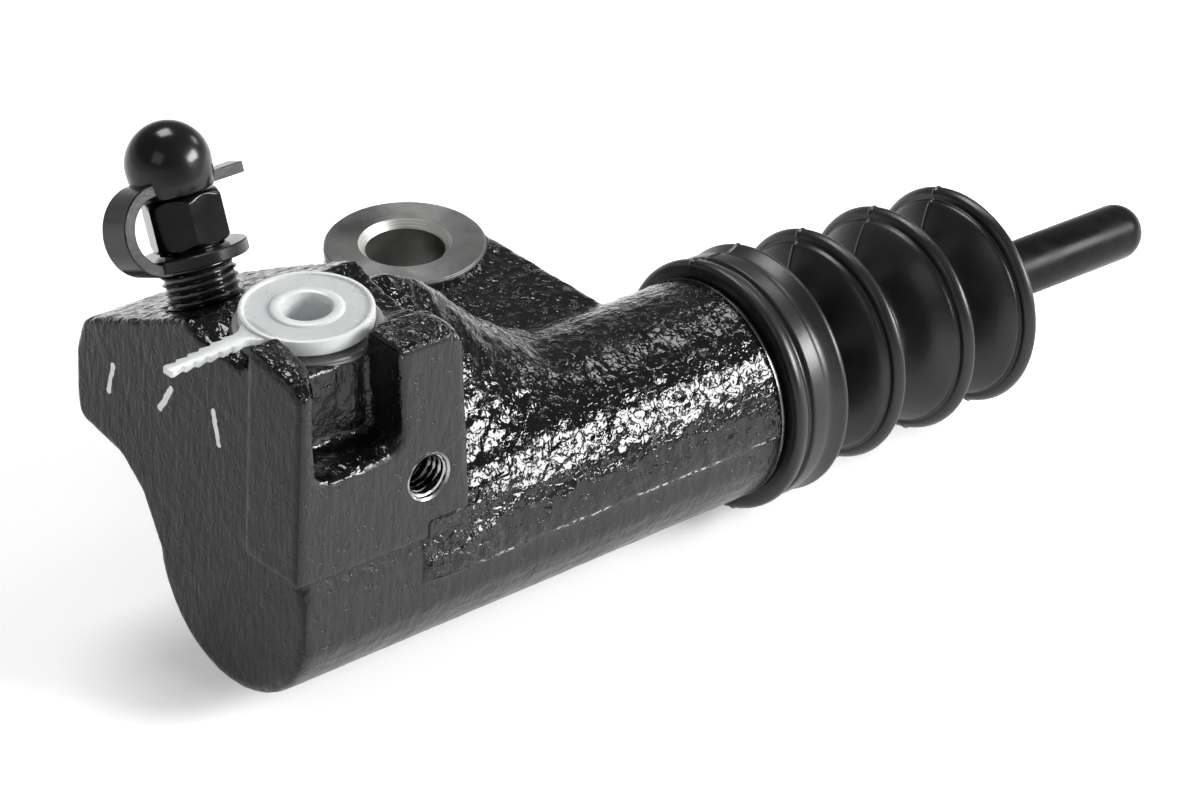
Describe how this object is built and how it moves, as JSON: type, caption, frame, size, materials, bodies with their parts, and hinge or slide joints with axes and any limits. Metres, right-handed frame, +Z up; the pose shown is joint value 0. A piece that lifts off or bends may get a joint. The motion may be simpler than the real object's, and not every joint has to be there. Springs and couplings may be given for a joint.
{
  "type": "clutch slave cylinder",
  "caption": "Hydraulic clutch slave cylinder: cast body with mounting lug, slotted bracket and bleed screw, sprung piston, bellows boot and push rod.",
  "frame": {"origin": "centre of the flat closed end face, on the bore axis", "axes": "+X along the bore towards the push rod, +Z up on the side of the hose port, +Y towards the mounting lug"},
  "size_m": [0.1747, 0.0671, 0.0681],
  "materials": {
    "painted_casting": "gloss black enamel over a rough casting",
    "black_steel": "black oxide",
    "spring_steel": "bright",
    "turned_aluminium": "turned",
    "black_rubber": "satin",
    "milky_plastic": "natural moulded"
  },
  "bodies": {
    "cylinder": {"cylinder_body": "painted_casting", "stop_ring": "spring_steel", "return_spring": "spring_steel", "dust_boot": "black_rubber"},
    "piston_set": {"piston": "turned_aluminium", "pressure_cup": "black_rubber", "rear_cup": "black_rubber", "spring_seat": "spring_steel"},
    "rod": {"push_rod": "black_steel"},
    "bleeder": {"bleed_screw": "black_steel"},
    "cap": {"bleed_cap": "black_rubber"},
    "plug": {"port_plug": "milky_plastic"}
  },
  "joints": [
    {"name": "piston_slide", "type": "slide", "parent": "cylinder", "child": "piston_set", "axis": [1, 0, 0], "range_m": [-0.02, 0], "stiffness_N_per_m": 500, "springref_m": 0.02, "deforming": ["return_spring", "dust_boot"]},
    {"name": "rod_swing", "type": "hinge", "parent": "piston_set", "child": "rod", "pos_m": [0.074, 0, 0], "axis": [0, 1, 0], "range_deg": [-4, 2], "stiffness_Nm_per_rad": 1.2, "springref_deg": -0.8, "deforming": ["dust_boot"]},
    {"name": "bleed_screw_turn", "type": "hinge", "parent": "cylinder", "child": "bleeder", "pos_m": [0.0087, 0.017, 0.0291], "axis": [0, 0.4099, 0.9121], "range_deg": [0, 180]},
    {"name": "cap_swivel", "type": "hinge", "parent": "bleeder", "child": "cap", "pos_m": [0.0087, 0.017, 0.0291], "axis": [0, 0.4099, 0.9121], "continuous": true},
    {"name": "plug_lift", "type": "slide", "parent": "cylinder", "child": "plug", "axis": [-0.068, 0, 0.9977], "range_m": [0, 0.02]}
  ]
}
